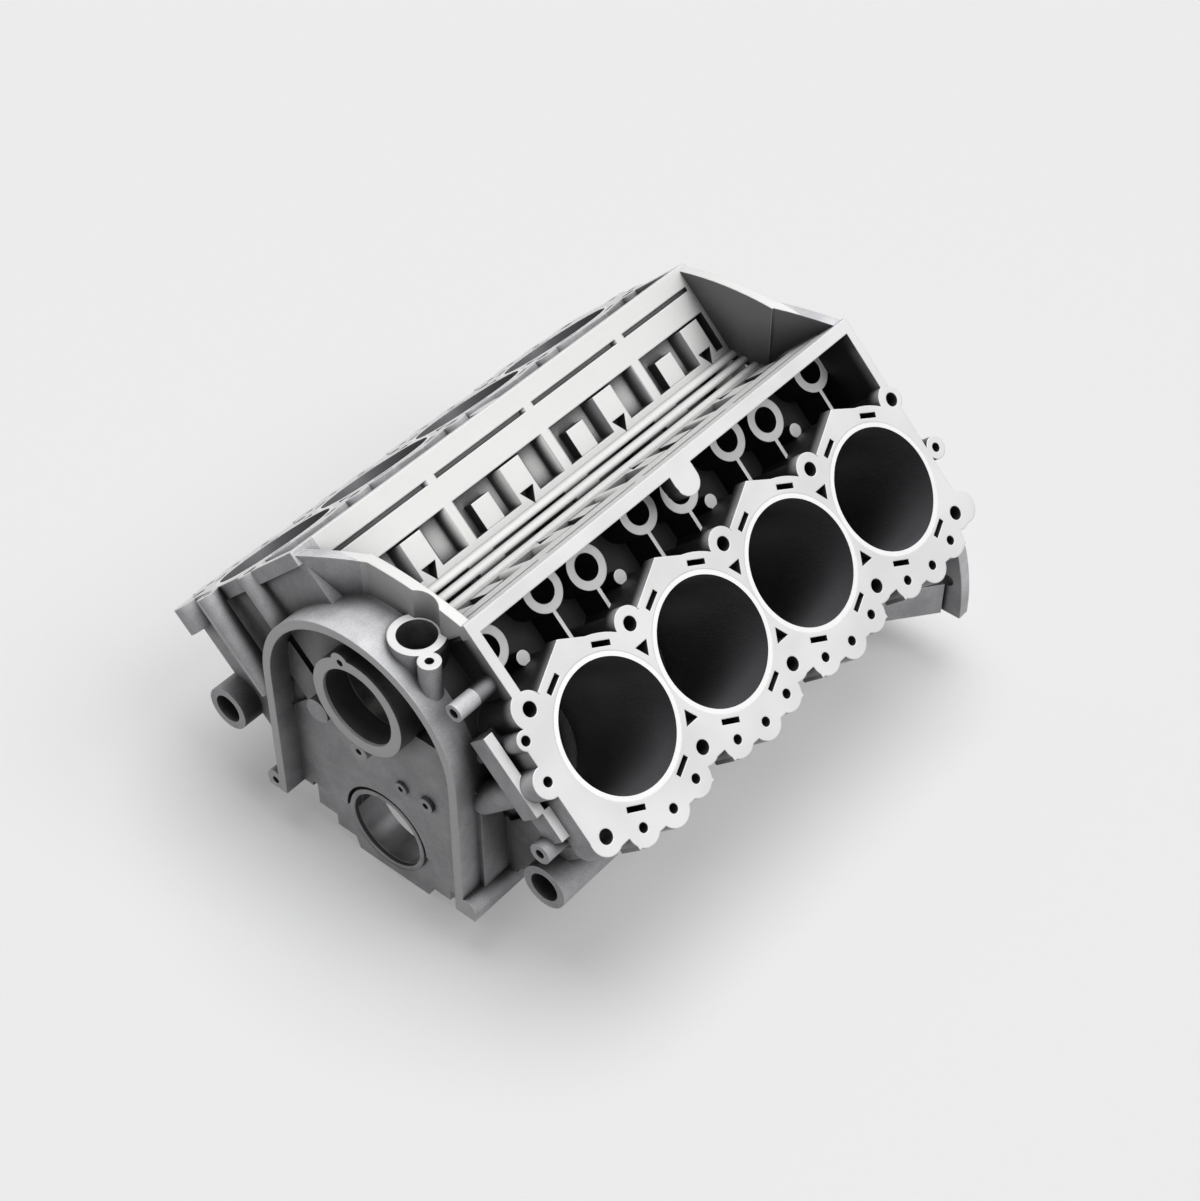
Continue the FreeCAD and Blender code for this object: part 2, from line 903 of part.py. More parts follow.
def timing_void():
    """The space behind the timing cover, less the cam boss and its lugs."""
    inner = "arch_radius - arch_rail"
    depth = ("0 - front_face - 1", "0 - case_front")
    arch = rod(
        "timing_arch", inner, (depth[0], 0, "arch_centre"), f"front_face - case_front + {past}", along_x
    )
    legs = block("timing_legs", depth, (f"0 - ( {inner} )", inner), ("0 - cap_drop - 10", "arch_centre"))
    boss_start = "0 - cam_boss_face"
    kept = [
        rod("cam_boss", "cam_boss_radius", (boss_start, 0, "cam_height"), 60, along_x),
        rod("boss_ear", "boss_ear_radius", (boss_start, "boss_ear_across", "boss_ear_height"), 60, along_x),
        rod("timing_lug", "lug_radius", (f"{boss_start} + 4", "lug_across", "lug_height"), 60, along_x),
    ]
    # A deep pocket between the case and the left bank
    back = ("0 - case_front - 1", "0 - case_front + pocket_depth")
    pocket_start = (back[0], 0, "arch_centre")
    pocket_round = rod("pocket_round", f"{inner} - 4", pocket_start, "pocket_depth + 2", along_x)
    pocket_side = block(
        "pocket_side", back, ("0 - pocket_outer", "0 - pocket_inner"), ("arch_centre + 8", "pocket_top")
    )
    space = fuse("timing_space", [arch, legs, common("side_pocket", [pocket_round, pocket_side])])
    return cut("timing_void", space, fuse("timing_kept", kept))


def casting_void():
    items = both_banks("bank_void", bank_void())
    items.append(timing_void())
    whole = ("0 - front_face - 1", "rear_face + 1")
    full = "front_face + rear_face + 2"
    items.append(rod("main_line", "main_bore_radius", (whole[0], 0, 0), full, along_x))
    items.append(
        rod("main_ring", "main_ring_radius", ("0 - case_front - 1", 0, 0), "main_ring_depth + 1", along_x)
    )
    items.append(rod("seal_bore", "seal_bore_radius", ("rear_face - 14", 0, 0), 20, along_x))
    items.append(rod("cam_line", "cam_bore_radius", (whole[0], 0, "cam_height"), full, along_x))
    items.append(rod("oil_hole", "oil_hole_radius", (whole[0], 0, "oil_hole_height"), full, along_x))
    items.append(
        block(
            "cap_register",
            ("0 - case_front - 1", "case_rear - bulkhead_thickness / 2 + 6"),
            ("0 - cap_half", "cap_half"),
            ("0 - cap_drop - 10", 0),
        )
    )
    for index in range(mains - 1):
        low = f"{main_x(index)} + bulkhead_thickness / 2"
        length = "bore_pitch - bulkhead_thickness"
        items.append(rod("crank_bay", "bay_radius", (low, 0, 0), length, along_x))
        items.append(
            block(
                "crank_bay_mouth",
                (low, f"{low} + {length}"),
                ("0 - bay_radius", "bay_radius"),
                ("0 - cap_drop - 10", 0),
            )
        )
        items.append(rod("cam_bay", "cam_bay_radius", (low, 0, "cam_height"), length, along_x))
    for index in range(mains):
        for side in (-1, 1):
            for kind in ("inner", "outer"):
                items.append(
                    rod(
                        f"{kind}_bolt_thread",
                        f"{kind}_bolt_radius",
                        (main_x(index), f"{side} * {kind}_bolt_place", -2),
                        f"{kind}_bolt_reach + 2",
                    )
                )
    items.append(
        rod(
            "port_ear_hole",
            "cover_bolt_radius",
            ("0 - port_ear_along", "0 - port_ear_across", "port_top - port_depth"),
            "port_depth * 2",
        )
    )
    items.append(
        rod(
            "bolt_tube_hole",
            "tube_hole_radius",
            ("0 - front_face + 5", "0 - tube_across", "tube_height"),
            "tube_length * 0.6",
            along_x,
        )
    )
    items.append(
        rod(
            "boss_ear_screw_hole",
            "boss_ear_hole",
            ("0 - cam_boss_face - 1", "boss_ear_across", "boss_ear_height"),
            16,
            along_x,
        )
    )
    items.append(
        rod(
            "bracket_screw_hole",
            "bracket_hole",
            ("0 - bracket_face - 1", "0 - bracket_across", "bracket_height"),
            "bracket_length * 0.7",
            along_x,
        )
    )
    for along, across, up in pump_ports():
        start = (f"{along} - {past}", across, up)
        items.append(rod("pump_port_bore", "pump_port_hole", start, "pump_port_length * 0.65", along_x))
        items.append(
            rod(
                "foot_bolt_hole",
                "cover_bolt_radius",
                (whole[0], f"{side} * foot_bolt_place", "foot_bolt_height"),
                20,
                along_x,
            )
        )
    for across, up in bell_bolts():
        items.append(
            rod("bell_bolt_hole", "bell_bolt_radius", ("case_rear - 2", across, up), 20, along_x)
        )
    for side in (-1, 1):
        items.append(
            rod(
                "bell_dowel_hole",
                "bell_dowel_stem",
                ("case_rear", f"{side} * bell_dowel_place", "bell_dowel_height"),
                20,
                along_x,
            )
        )
        for along in pan_bolt_places:
            items.append(
                rod(
                    "pan_bolt_hole",
                    "pan_bolt_radius",
                    (along, f"{side} * pan_bolt_across", f"0 - pan_face - {past}"),
                    f"pan_bolt_depth + {past}",
                )
            )
    return fuse("casting_void", items)


def port_void():
    """The coolant port, and the relief that it leaves in the end wall above."""
    hole = rod(
        "port_hole",
        "port_radius",
        ("0 - port_along", "0 - port_across", "port_top - port_depth"),
        f"port_depth + {past}",
    )
    relief = rod(
        "port_wall_relief",
        "port_radius + port_relief",
        ("0 - port_along", "0 - port_across", "port_top"),
        "end_wall_top - port_top + 2",
    )
    return fuse("port_void", [hole, relief])


def engine_block():
    closed = doc.addObject("Part::Fuse", "closed_casting")
    closed.Base = cut("opened_casting", casting_metal(), casting_void())
    closed.Tool = fuse("valley_ends", both_ends("valley_end", end_wall()))
    item = cut("engine_block_solid", closed, port_void())
    item.Refine = True
    item.Label = "engine_block"
    return item


# Turned and machined pieces that the casting holds


def coordinate(sketch, point, axis, text):
    """Hold one end of an edge at a distance from the origin given by an expression."""
    edge, end = point
    value = sketch.evalExpression(sized(text))
    order = (-1, 1, edge, end) if value >= 0 else (edge, end, -1, 1)
    number = sketch.addConstraint(Sketcher.Constraint(f"Distance{axis}", *order, abs(float(value))))
    if abs(float(value)) > 0:
        signed_text = sized(text) if value >= 0 else f"-( {sized(text)} )"
        sketch.setExpression(f"Constraints[{number}]", signed_text)


def outline(body, plane, corners):
    """A closed straight-sided sketch whose corners are expression pairs."""
    sketch = body.newObject("Sketcher::SketchObject", "outline")
    origin = [item for item in body.Origin.OriginFeatures if item.Role == plane][0]
    sketch.AttachmentSupport = [(origin, "")]
    sketch.MapMode = "FlatFace"
    doc.recompute()
    points = []
    for corner in corners:
        across, up = [float(sketch.evalExpression(sized(text))) for text in corner]
        points.append(FreeCAD.Vector(across, up, 0))
    count = len(points)
    for index, point in enumerate(points):
        sketch.addGeometry(Part.LineSegment(point, points[(index + 1) % count]), False)
    for index in range(count):
        sketch.addConstraint(Sketcher.Constraint("Coincident", index, 2, (index + 1) % count, 1))
    for index, corner in enumerate(corners):
        for axis, text in zip("XY", corner):
            coordinate(sketch, (index, 1), axis, text)
    return sketch


def new_body(label):
    body = doc.addObject("PartDesign::Body", f"{label}_body")
    body.Label = label
    return body


def turned(label, corners):
    """A piece of revolution about its own Z axis, from (radius, height) corners."""
    body = new_body(label)
    sketch = outline(body, "XZ_Plane", corners)
    spin = body.newObject("PartDesign::Revolution", "spin")
    spin.Profile = sketch
    spin.ReferenceAxis = (sketch, ["V_Axis"])
    spin.Angle = 360
    return body


def liner(label, side, index):
    outer = "bore_radius + liner_wall"
    body = turned(
        label,
        [
            ("bore_radius + bore_lead_in", 0),
            (outer, 0),
            (outer, "liner_length"),
            ("bore_radius", "liner_length"),
            ("bore_radius", "bore_lead_in * 2"),
        ],
    )
    body.Placement.Rotation = bank_turns[side]
    sign = 1 if side == "left" else -1
    foot = "( deck_height - liner_length )"
    place(
        body,
        f"{sign} * ( {bore_x(index)} )",
        f"{-sign} * {foot} * sin(bank_lean * 1 deg)",
        f"{foot} * cos(bank_lean * 1 deg)",
    )
    return body


def main_cap(label, index):
    body = new_body(label)
    corners = [
        ("0 - cap_half", 0),
        ("0 - cap_half", "0 - cap_outer_seat"),
        ("0 - cap_seat_half", "0 - cap_outer_seat"),
        ("0 - cap_seat_half", "0 - cap_inner_seat"),
        ("0 - cap_foot_half - 4", "0 - cap_inner_seat"),
        ("0 - cap_foot_half", "0 - cap_drop"),
        ("cap_foot_half", "0 - cap_drop"),
        ("cap_foot_half + 4", "0 - cap_inner_seat"),
        ("cap_seat_half", "0 - cap_inner_seat"),
        ("cap_seat_half", "0 - cap_outer_seat"),
        ("cap_half", "0 - cap_outer_seat"),
        ("cap_half", 0),
    ]
    sketch = outline(body, "YZ_Plane", corners)
    pad = body.newObject("PartDesign::Pad", "slab")
    pad.Profile = sketch
    pad.Midplane = True
    bind(pad, Length="cap_thickness")
    bearing = body.newObject("PartDesign::SubtractiveCylinder", "bearing_half")
    bearing.Placement.Rotation = along_x
    bind(bearing, Radius="main_bore_radius", Height="cap_thickness * 2")
    place(bearing, "0 - cap_thickness", 0, 0)
    for side in (-1, 1):
        for kind in ("inner", "outer"):
            hole = body.newObject("PartDesign::SubtractiveCylinder", f"{kind}_bolt_hole")
            bind(hole, Radius=f"{kind}_bolt_radius + bolt_clearance", Height="cap_drop + 2")
            place(hole, 0, f"{side} * {kind}_bolt_place", "0 - cap_drop - 1")
    place(body, main_x(index))
    return body


def cap_bolts(label, kind):
    """Ten hexagon bolts, heads down, one node."""
    radius = f"{kind}_bolt_radius"
    seat = f"cap_{kind}_seat"
    shank = rod(f"{kind}_shank", radius, (0, 0, f"0 - {seat}"), f"{seat} + {kind}_bolt_reach - 2")
    head = doc.addObject("Part::Prism", f"{kind}_head")
    head.Polygon = 6
    bind(head, Circumradius=f"{radius} * bolt_head_ratio", Height="bolt_head_height")
    place(head, 0, 0, f"0 - {seat} - bolt_head_height")
    bolt = fuse(f"{kind}_bolt", [shank, head])
    copies = []
    for index in range(mains):
        for side in (-1, 1):
            item = copy_at(f"{kind}_bolt_{index}", bolt, FreeCAD.Placement())
            place(item, main_x(index), f"{side} * {kind}_bolt_place", 0)
            copies.append(item)
    group = copy_at(f"{kind}_bolts", copies, FreeCAD.Placement())
    group.Label = label
    return group


def cam_bush(label, index):
    outer = "cam_bore_radius"
    inner = "cam_bore_radius - cam_bush_wall"
    body = turned(
        label,
        [(inner, 0), (outer, 0), (outer, "cam_bush_length"), (inner, "cam_bush_length")],
    )
    body.Placement.Rotation = along_x
    place(body, f"{main_x(index)} - cam_bush_length / 2", 0, "cam_height")
    return body


def cup_plug(label, radius, depth):
    """A pressed cup plug, open side first."""
    return turned(
        label,
        [
            (f"{radius} - plug_wall", 0),
            (radius, 0),
            (radius, depth),
            (0, depth),
            (0, f"{depth} - plug_wall"),
            (f"{radius} - plug_wall", f"{depth} - plug_wall"),
        ],
    )


def gallery_plug(label):
    """The threaded plug at the flywheel end of the main oil gallery, with its hexagon socket."""
    start = ("rear_face - 2", 0, "oil_hole_height")
    screw = rod("gallery_screw", "oil_hole_radius", start, "gallery_plug_length")
    screw.Placement.Rotation = along_x.inverted()
    socket = doc.addObject("Part::Prism", "gallery_socket")
    socket.Polygon = 6
    socket.Placement.Rotation = along_x.inverted()
    bind(socket, Circumradius="oil_hole_radius * 0.6", Height="gallery_plug_length / 2")
    place(socket, f"rear_face - 2 + {past}", 0, "oil_hole_height")
    plug = cut("gallery_plug", screw, socket)
    plug.Label = label
    return plug


def bell_dowels(label):
    """Two locating dowels in the flywheel-end face, one node."""
    pins = []
    for side in (-1, 1):
        across = f"{side} * bell_dowel_place"
        stem = rod(
            "bell_dowel_stem",
            "bell_dowel_stem",
            ("case_rear", across, "bell_dowel_height"),
            "rear_face - case_rear",
            along_x,
        )
        head = rod(
            "bell_dowel_head",
            "bell_dowel_radius",
            ("rear_face", across, "bell_dowel_height"),
            "bell_dowel_reach",
            along_x,
        )
        pins.append(fuse("bell_dowel", [stem, head]))
    group = copy_at("bell_dowel_pair", pins, FreeCAD.Placement())
    group.Label = label
    return group


def side_plug(label, side, index):
    body = cup_plug(label, "side_plug_radius", "plug_depth")
    body.Placement.Rotation = bank_turns[side].multiply(along_y)
    sign = 1 if side == "left" else -1
    low = "( 0 - bank_side + 1 )"
    turn_sin = "sin(bank_lean * 1 deg)"
    turn_cos = "cos(bank_lean * 1 deg)"
    place(
        body,
        f"{sign} * ( {bore_x(index)} )",
        f"{sign} * ( {low} * {turn_cos} - side_plug_height * {turn_sin} )",
        f"{low} * {turn_sin} + side_plug_height * {turn_cos}",
    )
    return body


def sub_parts():
    items = [engine_block()]
    for side in bank_turns:
        for index in range(bores_per_bank):
            items.append(liner(f"{side}_liner_{index + 1}", side, index))
    for index in range(mains):
        items.append(main_cap(f"main_cap_{index + 1}", index))
        items.append(cam_bush(f"cam_bearing_{index + 1}", index))
    items.append(cap_bolts("inner_cap_bolts", "inner"))
    items.append(cap_bolts("outer_cap_bolts", "outer"))
    items.append(gallery_plug("oil_gallery_plug"))
    items.append(bell_dowels("flywheel_end_dowels"))
    for side in bank_turns:
        for number, index in enumerate(core_plugs, start=1):
            items.append(side_plug(f"{side}_core_plug_{number}", side, index))
    return items


def write_parts():
    items = sub_parts()
    doc.recompute()
    for item in doc.Objects:
        if "Invalid" in item.State or "Error" in item.State:
            raise SystemExit(f"{item.Name} ({item.Label}) failed: {item.State}")
    os.makedirs("parts", exist_ok=True)
    for item in items:
        if item.Shape.isNull() or not item.Shape.isValid():
            raise SystemExit(f"{item.Label} has no valid shape")
        item.Shape.exportStep(f"parts/{item.Label}.step")
        print(item.Label, len(item.Shape.Solids), round(item.Shape.Volume / 1000, 1), "cm3")


write_parts()
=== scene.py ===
import math

import bmesh
import bpy
import numpy as np
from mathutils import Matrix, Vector


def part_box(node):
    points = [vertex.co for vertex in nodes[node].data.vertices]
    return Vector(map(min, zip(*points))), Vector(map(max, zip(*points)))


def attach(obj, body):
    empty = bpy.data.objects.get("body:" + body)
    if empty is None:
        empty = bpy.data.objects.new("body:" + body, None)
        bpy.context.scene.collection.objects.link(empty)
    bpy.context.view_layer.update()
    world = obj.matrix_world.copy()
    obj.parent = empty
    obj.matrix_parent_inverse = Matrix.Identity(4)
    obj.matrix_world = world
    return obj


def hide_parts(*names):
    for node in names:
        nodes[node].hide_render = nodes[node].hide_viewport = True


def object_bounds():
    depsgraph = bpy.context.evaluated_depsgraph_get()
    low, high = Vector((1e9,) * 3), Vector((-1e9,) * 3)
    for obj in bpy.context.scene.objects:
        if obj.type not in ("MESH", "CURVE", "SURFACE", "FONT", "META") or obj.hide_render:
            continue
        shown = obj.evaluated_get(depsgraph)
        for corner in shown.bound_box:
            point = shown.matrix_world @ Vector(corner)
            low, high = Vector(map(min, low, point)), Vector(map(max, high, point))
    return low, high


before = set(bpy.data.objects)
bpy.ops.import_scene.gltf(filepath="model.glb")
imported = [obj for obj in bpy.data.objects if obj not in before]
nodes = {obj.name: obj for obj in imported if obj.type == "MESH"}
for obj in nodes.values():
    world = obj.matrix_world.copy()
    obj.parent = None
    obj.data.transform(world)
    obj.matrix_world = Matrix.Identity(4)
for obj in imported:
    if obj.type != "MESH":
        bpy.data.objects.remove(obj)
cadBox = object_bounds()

mm = 0.001
body = "root"
lean = math.sqrt(0.5)                          # sine and cosine of the bank angle
deckHeight = 235 * mm
weldReach = 0.001 * mm                         # points closer than this become one
sharpAngle = math.radians(32)                  # edges that turn further stay sharp
black = (0, 0, 0, 1)
white = (1, 1, 1, 1)


def say(stage):
    print(f"scene: {stage}")


# Node helpers

# A node tree with short ways to add maths and texture nodes
class Tree:

    def __init__(self, tree):
        self.tree = tree

    def add(self, kind, **settings):
        node = self.tree.nodes.new(kind)
        for name, value in settings.items():
            setattr(node, name, value)
        return node

    def link(self, source, target):
        self.tree.links.new(source, target)

    def feed(self, socket, value):
        if isinstance(value, bpy.types.NodeSocket):
            self.link(value, socket)
        else:
            socket.default_value = value

    def math(self, operation, *values):
        node = self.add("ShaderNodeMath", operation=operation)
        for socket, value in zip(node.inputs, values):
            self.feed(socket, value)
        return node.outputs[0]

    # One value from several, worked out from left to right
    def fold(self, operation, *values):
        result, *others = values
        for value in others:
            result = self.math(operation, result, value)
        return result

    # The rest of the surface, where a mask is not
    def outside(self, mask):
        return self.math("SUBTRACT", 1.0, mask)

    def dot(self, vector, direction):
        node = self.add("ShaderNodeVectorMath", operation="DOT_PRODUCT")
        self.feed(node.inputs[0], vector)
        self.feed(node.inputs[1], direction)
        return node.outputs["Value"]

    def scale(self, vector, factor):
        node = self.add("ShaderNodeVectorMath", operation="SCALE")
        self.feed(node.inputs[0], vector)
        self.feed(node.inputs["Scale"], factor)
        return node.outputs[0]

    def ramp(self, value, low, high, toLow=0.0, toHigh=1.0):
        node = self.add("ShaderNodeMapRange", interpolation_type="SMOOTHSTEP")
        for name, number in (("From Min", low), ("From Max", high), ("To Min", toLow), ("To Max", toHigh)):
            node.inputs[name].default_value = number
        self.feed(node.inputs["Value"], value)
        return node.outputs["Result"]

    def noise(self, position, scale, detail, roughness=0.55):
        node = self.add("ShaderNodeTexNoise")
        self.feed(node.inputs["Vector"], position)
        node.inputs["Scale"].default_value = scale
        node.inputs["Detail"].default_value = detail
        node.inputs["Roughness"].default_value = roughness
        return node.outputs["Fac"]

    def wave(self, distance, pitch):
        cycles = self.math("DIVIDE", distance, pitch)
        return self.math("SINE", self.math("MULTIPLY", cycles, 2 * math.pi))

    def mix(self, factor, first, second):
        node = self.add("ShaderNodeMix", data_type="RGBA")
        self.feed(node.inputs["Factor"], factor)
        self.feed(node.inputs["A"], first)
        self.feed(node.inputs["B"], second)
        return node.outputs["Result"]

    def blend(self, factor, first, second):
        node = self.add("ShaderNodeMix", data_type="FLOAT")
        self.feed(node.inputs["Factor"], factor)
        self.feed(node.inputs["A"], first)
        self.feed(node.inputs["B"], second)
        return node.outputs["Result"]

    def position(self):
        return self.add("ShaderNodeTexCoord").outputs["Object"]

    def parts(self, vector):
        node = self.add("ShaderNodeSeparateXYZ")
        self.link(vector, node.inputs[0])
        return node.outputs

    def facing(self):
        return self.add("ShaderNodeNewGeometry").outputs["True Normal"]

    # The surface's direction with its edges rounded off
    def rounded(self, radius, samples):
        node = self.add("ShaderNodeBevel", samples=samples)
        node.inputs["Radius"].default_value = radius
        return node.outputs["Normal"]

    def bump(self, height, distance, strength, normal=None):
        node = self.add("ShaderNodeBump")
        node.inputs["Strength"].default_value = strength
        node.inputs["Distance"].default_value = distance
        self.feed(node.inputs["Height"], height)
        if normal is not None:
            self.link(normal, node.inputs["Normal"])
        return node.outputs["Normal"]

    def use(self, group, **values):
        node = self.add("ShaderNodeGroup")
        node.node_tree = group
        for name, value in values.items():
            self.feed(node.inputs[name], value)
        return node.outputs


# An empty node group with named sockets; returns it, its Tree and its two ends
def newGroup(name, inputs, outputs):
    group = bpy.data.node_groups.new(name, "ShaderNodeTree")
    for socketName, value in inputs.items():
        socket = group.interface.new_socket(socketName, in_out="INPUT", socket_type="NodeSocketFloat")
        socket.default_value = value
    for socketName in outputs:
        group.interface.new_socket(socketName, in_out="OUTPUT", socket_type="NodeSocketFloat")
    tree = Tree(group)
    return group, tree, tree.add("NodeGroupInput").outputs, tree.add("NodeGroupOutput").inputs


# Effects that several materials share

skin = {
    "grain": 900.0,                            # grains and mottles in a metre
    "mottle": 28.0,
    "tooth": 3.1,                              # the finer tooth, against the grain
    "grainNoise": (3.0, 0.6),                  # detail and roughness of the three noises
    "toothNoise": (2.0, 0.5),
    "mottleNoise": (4.0, 0.6),
    "grainHeight": 0.7,                        # share of the grain in the height; the tooth has the rest
    "mottleTone": 0.65,                        # share of the mottling in the tone; the grain has the rest
    "toneRange": (0.36, 0.64),
}


# Sand-cast skin: coarse mottling, grains about a millimetre across and a finer tooth
def makeCastSkin():
    inputs = {"Grain": skin["grain"], "Mottle": skin["mottle"]}
    group, tree, given, result = newGroup("castSkin", inputs, ("Tone", "Height"))
    place = tree.position()
    close = tree.scale(place, given["Grain"])
    grain = tree.noise(close, 1.0, *skin["grainNoise"])
    tooth = tree.noise(close, skin["tooth"], *skin["toothNoise"])
    mottle = tree.noise(tree.scale(place, given["Mottle"]), 1.0, *skin["mottleNoise"])
    height = tree.math(
        "ADD",
        tree.math("MULTIPLY", grain, skin["grainHeight"]),
        tree.math("MULTIPLY", tooth, 1 - skin["grainHeight"]),
    )
    tone = tree.math(
        "ADD",
        tree.math("MULTIPLY", mottle, skin["mottleTone"]),
        tree.math("MULTIPLY", grain, 1 - skin["mottleTone"]),
    )
    tree.link(tree.ramp(tone, *skin["toneRange"]), result["Tone"])
    tree.link(height, result["Height"])
    return group


mill = {
    "pitch": 1.1 * mm,
    "sweep": 400 * mm,                         # radius of the cutter's path
    "sweepHeight": 20 * mm,                    # its middle, over the crank axis
    "breakNoise": (60.0, 4.0),                 # scale and detail
    "bandNoise": (14.0, 2.0),
    "bandRange": (0.3, 0.7),
}


# Marks of a face mill: close arcs of one large circle, broken by a little noise. The wave runs along
# X plus the root of the circle's radius squared less the height squared.
def makeMilledLay():
    group, tree, given, result = newGroup("milledLay", {"Pitch": mill["pitch"]}, ("Tone", "Height"))
    place = tree.position()
    parts = tree.parts(place)
    up = tree.math("SUBTRACT", parts["Z"], mill["sweepHeight"])
    square = tree.math("SUBTRACT", mill["sweep"] ** 2, tree.math("MULTIPLY", up, up))
    along = tree.math("ADD", parts["X"], tree.math("SQRT", square))
    broken = tree.noise(place, *mill["breakNoise"])
    tree.link(tree.math("MULTIPLY", tree.wave(along, given["Pitch"]), broken), result["Height"])
    band = tree.noise(place, *mill["bandNoise"])
    tree.link(tree.ramp(band, *mill["bandRange"]), result["Tone"])
    return group


flat = {
    "slack": 0.4 * mm,
    "aligned": 0.995,                          # least cosine between the face and the direction
}


# 1 on the flat faces that look along a given direction at a given distance, 0 elsewhere
def makePlaneFace():
    inputs = {"Nx": 0.0, "Ny": 0.0, "Nz": 1.0, "Offset": 0.0, "Slack": flat["slack"]}
    group, tree, given, result = newGroup("planeFace", inputs, ("Mask",))
    axis = tree.add("ShaderNodeCombineXYZ")
    for name, socket in zip(("Nx", "Ny", "Nz"), axis.inputs):
        tree.link(given[name], socket)
    aligned = tree.math("GREATER_THAN", tree.dot(tree.facing(), axis.outputs[0]), flat["aligned"])
    distance = tree.dot(tree.position(), axis.outputs[0])
    away = tree.math("ABSOLUTE", tree.math("SUBTRACT", distance, given["Offset"]))
    level = tree.math("LESS_THAN", away, given["Slack"])
    tree.link(tree.math("MULTIPLY", aligned, level), result["Mask"])
    return group


castSkin = makeCastSkin()
milledLay = makeMilledLay()
planeFace = makePlaneFace()


def newMaterial(name):
    material = bpy.data.materials.new(name)
    material.use_nodes = True
    shader = material.node_tree.nodes["Principled BSDF"]
    return material, Tree(material.node_tree), shader.inputs


# The casting

casting = {
    "castColour": (0.76, 0.76, 0.78, 1),
    "castShade": (0.48, 0.48, 0.50, 1),
    # painted light: the valley is coloured lighter where light falls on it
    "valleyPaintedLight": (0.80, 0.80, 0.79, 1),
    "milledColour": (0.86, 0.86, 0.86, 1),
    "milledShade": (0.77, 0.77, 0.77, 1),
    # edges: partly wear, partly painted highlight
    "edgeWearAndHighlight": (0.95, 0.95, 0.95, 1),
    # painted shade in hollows
    "hollowShade": (0.03, 0.03, 0.032, 1),
    # painted shade inside the lifter galleries
    "galleryShade": (0.010, 0.010, 0.010, 1),
    # painted shade on the inner faces of the walls at the valley's ends
    "endWallShade": (0.26, 0.26, 0.27, 1),
    # painted shade inside the cam and crank tunnels
    "tunnelShade": (0.07, 0.07, 0.07, 1),
    "castRoughness": (0.48, 0.66),
    "milledRoughness": (0.34, 0.48),
    "castMetallic": 0.18,
    "milledMetallic": 0.12,
    "edgeRadius": 1.5 * mm,
    "edgeSamples": 6,
    "edgeTurn": (0.01, 0.12),                  # how far the rounded normal leaves the flat one
    "castEdge": 0.7,                           # strength of the bright edges, partly wear and partly painted highlight, on the two finishes
    "milledEdge": 0.8,
    "grainDepth": 0.4 * mm,
    "grainStrength": 0.8,
    "millDepth": 0.06,                         # of the grain's depth
    "hollowReach": 60 * mm,
    "hollowSamples": 8,
    "hollowLight": (0.3, 0.98),                # how open a hollow is where its painted shade is darkest and where it is palest
}
milledFaces = {
    "leftDeck": (0, -lean, lean, deckHeight),
    "rightDeck": (0, lean, lean, deckHeight),
    "leftLifters": (0, -lean, lean, 190 * mm),
    "rightLifters": (0, lean, lean, 190 * mm),
    "leftYokes": (0, -lean, lean, 188 * mm),
    "rightYokes": (0, lean, lean, 188 * mm),
    "leftLedges": (0, -lean, lean, 217 * mm),
    "timingRail": (-1, 0, 0, 264 * mm),
    "camBoss": (-1, 0, 0, 262 * mm),
    "flywheelFace": (1, 0, 0, 264 * mm),
    "panFace": (0, 0, -1, 5 * mm),
    "portTop": (0, 0, 1, deckHeight),
}
gallery = {                                    # up the cylinders, and across the deck from the bores
    "edge": (117 * mm, 119.5 * mm),            # its valley side, below the split and above it
    "split": 194 * mm,
    "inner": 46 * mm,
    "depth": (222 * mm, 234 * mm),             # the painted shade fades out towards the mouth
    "floor": 150 * mm,
    "end": 237 * mm,
}
valley = {
    "edge": (108 * mm, 116 * mm),
    "end": 222 * mm,
    "wallEdge": (100 * mm, 110 * mm),
    "wallFacing": (-0.7, -0.4),                # towards the middle of the block
}
tunnels = {
    "cam": (157 * mm, 36.5 * mm),              # height of the axis and reach
    "main": (0, 43.4 * mm),
    "end": 259 * mm,
    "ringFace": -243 * mm,                     # the bright ring round the front main bearing
    "ringTop": 60 * mm,
}


# 1 on the milled faces, 0 on the cast ones
def milledMask(tree):
    faces = []
    for nx, ny, nz, offset in milledFaces.values():
        faces.append(tree.use(planeFace, Nx=nx, Ny=ny, Nz=nz, Offset=offset)["Mask"])
    return tree.fold("MAXIMUM", *faces)


# 1 inside the lifter galleries below their mouths, where painted shade goes, 0 elsewhere
def galleryShadeMask(tree, place, alongX):
    rooms = []
    for side in (-1, 1):
        up = tree.dot(place, (0, side * lean, lean))
        across = tree.dot(place, (0, -side * lean, lean))
        high = tree.math("GREATER_THAN", up, gallery["split"])
        rooms.append(tree.fold(
            "MULTIPLY",
            tree.math("LESS_THAN", across, tree.blend(high, *gallery["edge"])),
            tree.math("GREATER_THAN", across, gallery["inner"]),
            tree.math("GREATER_THAN", up, gallery["floor"]),
            tree.ramp(up, *gallery["depth"], 1.0, 0.0),
        ))
    notEnds = tree.math("LESS_THAN", alongX, gallery["end"])
    return tree.math("MULTIPLY", tree.fold("MAXIMUM", *rooms), notEnds)


# Two masks: the valley between the banks, which is painted lighter where light falls, and the inner faces
# of the walls at its ends, which get painted shade
def valleyLightAndShadeMasks(tree, place, parts, alongX):
    wedge = tree.math("MINIMUM", tree.dot(place, (0, lean, lean)), tree.dot(place, (0, -lean, lean)))
    notEnds = tree.math("LESS_THAN", alongX, valley["end"])
    room = tree.math("MULTIPLY", tree.ramp(wedge, *valley["edge"]), notEnds)
    outward = tree.math("MULTIPLY", tree.dot(tree.facing(), (1, 0, 0)), tree.math("SIGN", parts["X"]))
    inward = tree.ramp(outward, *valley["wallFacing"], 1.0, 0.0)
    return room, tree.math("MULTIPLY", tree.ramp(wedge, *valley["wallEdge"]), inward)
